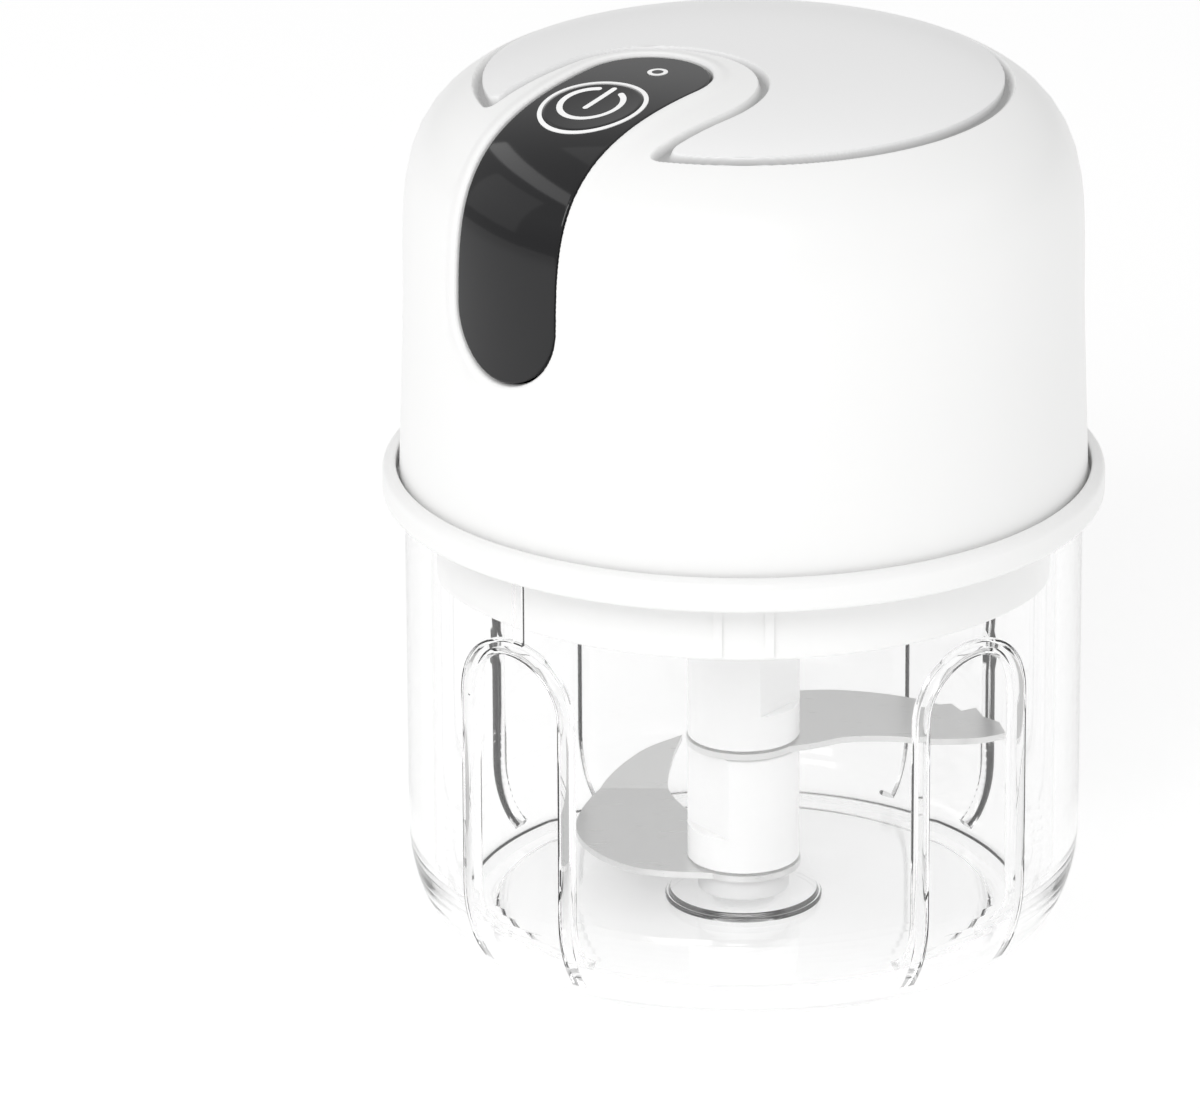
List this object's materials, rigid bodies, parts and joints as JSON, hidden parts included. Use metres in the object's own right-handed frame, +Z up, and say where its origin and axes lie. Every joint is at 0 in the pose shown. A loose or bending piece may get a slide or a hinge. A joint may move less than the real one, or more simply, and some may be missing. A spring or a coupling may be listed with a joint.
{
  "type": "mini food processor",
  "caption": "Rechargeable mini food processor: clear round bowl, two-level blade, lid collar and a domed white motor head with a dark control strip and button.",
  "frame": {"origin": "centre of the bowl's underside, on the surface it stands on", "axes": "+Z up along the blade spindle, -Y towards the front; the control strip faces between -X and -Y, and the charging port faces +Y"},
  "size_m": [0.1, 0.1, 0.1253],
  "materials": {
    "clear_plastic": "clear glossy moulded plastic",
    "shaft_steel": "turned steel",
    "milky_plastic": "milky translucent",
    "bush_brass": "turned brass",
    "blade_steel": "brushed sheet steel",
    "white_plastic": "soft gloss white",
    "panel_white_plastic": "soft gloss, slightly greyer white",
    "gloss_black_plastic": "high gloss dark grey",
    "silicone_rubber": "matte pale grey",
    "gear_plastic": "natural acetal",
    "dark_plastic": "matte dark grey",
    "cell_wrap": "shrink wrap",
    "board_green": "solder mask",
    "red_lead": "wire insulation",
    "black_lead": "wire insulation"
  },
  "bodies": {
    "bowl_body": {"bowl": "clear_plastic", "spindle_pin": "shaft_steel"},
    "blade_set": {"hub_core": "milky_plastic", "hub_bush": "bush_brass", "lower_spacer": "milky_plastic", "upper_spacer": "milky_plastic", "lower_blade": "blade_steel", "upper_blade": "blade_steel"},
    "lid": {"lid_collar": "white_plastic", "lid_gasket": "silicone_rubber"},
    "head": {"motor_housing": "white_plastic", "top_panel": "panel_white_plastic", "control_panel": "gloss_black_plastic", "button_light_ring": "milky_plastic", "indicator_lens": "milky_plastic", "control_board": "board_green", "tactile_switch": "dark_plastic", "indicator_led": "milky_plastic", "base_plate": "white_plastic", "base_screw_1": "shaft_steel", "base_screw_2": "shaft_steel", "base_screw_3": "shaft_steel", "output_bush": "bush_brass", "shaft_seal": "silicone_rubber", "motor_can": "shaft_steel", "gearbox_ring": "dark_plastic", "battery_cell": "cell_wrap", "battery_cradle": "dark_plastic", "charge_board": "board_green", "usb_socket": "shaft_steel", "safety_switch": "dark_plastic", "safety_spring": "shaft_steel", "motor_lead_red": "red_lead", "motor_lead_black": "black_lead"},
    "carrier": {"planet_carrier": "shaft_steel", "drive_coupling": "dark_plastic"},
    "rotor": {"motor_shaft": "shaft_steel", "sun_pinion": "shaft_steel"},
    "planet_1": {"planet_gear_1": "gear_plastic"},
    "planet_2": {"planet_gear_2": "gear_plastic"},
    "planet_3": {"planet_gear_3": "gear_plastic"},
    "button": {"power_button": "gloss_black_plastic"},
    "interlock_pin": {"safety_pin": "dark_plastic"},
    "port_flap": {"port_cover": "silicone_rubber"}
  },
  "joints": [
    {"name": "blade_spin", "type": "hinge", "parent": "bowl_body", "child": "blade_set", "pos_m": [0, 0, 0.03], "axis": [0, 0, 1], "continuous": true},
    {"name": "lid_lift", "type": "slide", "parent": "bowl_body", "child": "lid", "axis": [0, 0, 1], "range_m": [0, 0.06]},
    {"name": "head_lift", "type": "slide", "parent": "lid", "child": "head", "axis": [0, 0, 1], "range_m": [0, 0.06]},
    {"name": "carrier_spin", "type": "hinge", "parent": "head", "child": "carrier", "pos_m": [0, 0, 0.07], "axis": [0, 0, 1], "continuous": true},
    {"name": "rotor_spin", "type": "hinge", "parent": "head", "child": "rotor", "pos_m": [0, 0, 0.08], "axis": [0, 0, 1], "continuous": true},
    {"name": "planet_1_spin", "type": "hinge", "parent": "carrier", "child": "planet_1", "pos_m": [0, 0.009, 0.074], "axis": [0, 0, 1], "continuous": true},
    {"name": "planet_2_spin", "type": "hinge", "parent": "carrier", "child": "planet_2", "pos_m": [-0.00779, -0.0045, 0.074], "axis": [0, 0, 1], "continuous": true},
    {"name": "planet_3_spin", "type": "hinge", "parent": "carrier", "child": "planet_3", "pos_m": [0.00779, -0.0045, 0.074], "axis": [0, 0, 1], "continuous": true},
    {"name": "button_press", "type": "slide", "parent": "head", "child": "button", "axis": [0.1395, 0.1328, -0.9813], "range_m": [0, 0.0008], "stiffness_N_per_m": 1500},
    {"name": "interlock_press", "type": "slide", "parent": "head", "child": "interlock_pin", "axis": [0, 0, 1], "range_m": [0, 0.0015], "stiffness_N_per_m": 600, "deforming": ["safety_spring"]},
    {"name": "port_cover_swing", "type": "hinge", "parent": "head", "child": "port_flap", "pos_m": [0, 0.04666, 0.0698], "axis": [-1, 0, 0], "range_deg": [0, 90]}
  ],
  "couplings": [
    {"joint": "carrier_spin", "follows": "blade_spin", "ratio": 1},
    {"joint": "rotor_spin", "follows": "blade_spin", "ratio": 5},
    {"joint": "planet_1_spin", "follows": "blade_spin", "ratio": -2.6667},
    {"joint": "planet_2_spin", "follows": "blade_spin", "ratio": -2.6667},
    {"joint": "planet_3_spin", "follows": "blade_spin", "ratio": -2.6667}
  ]
}
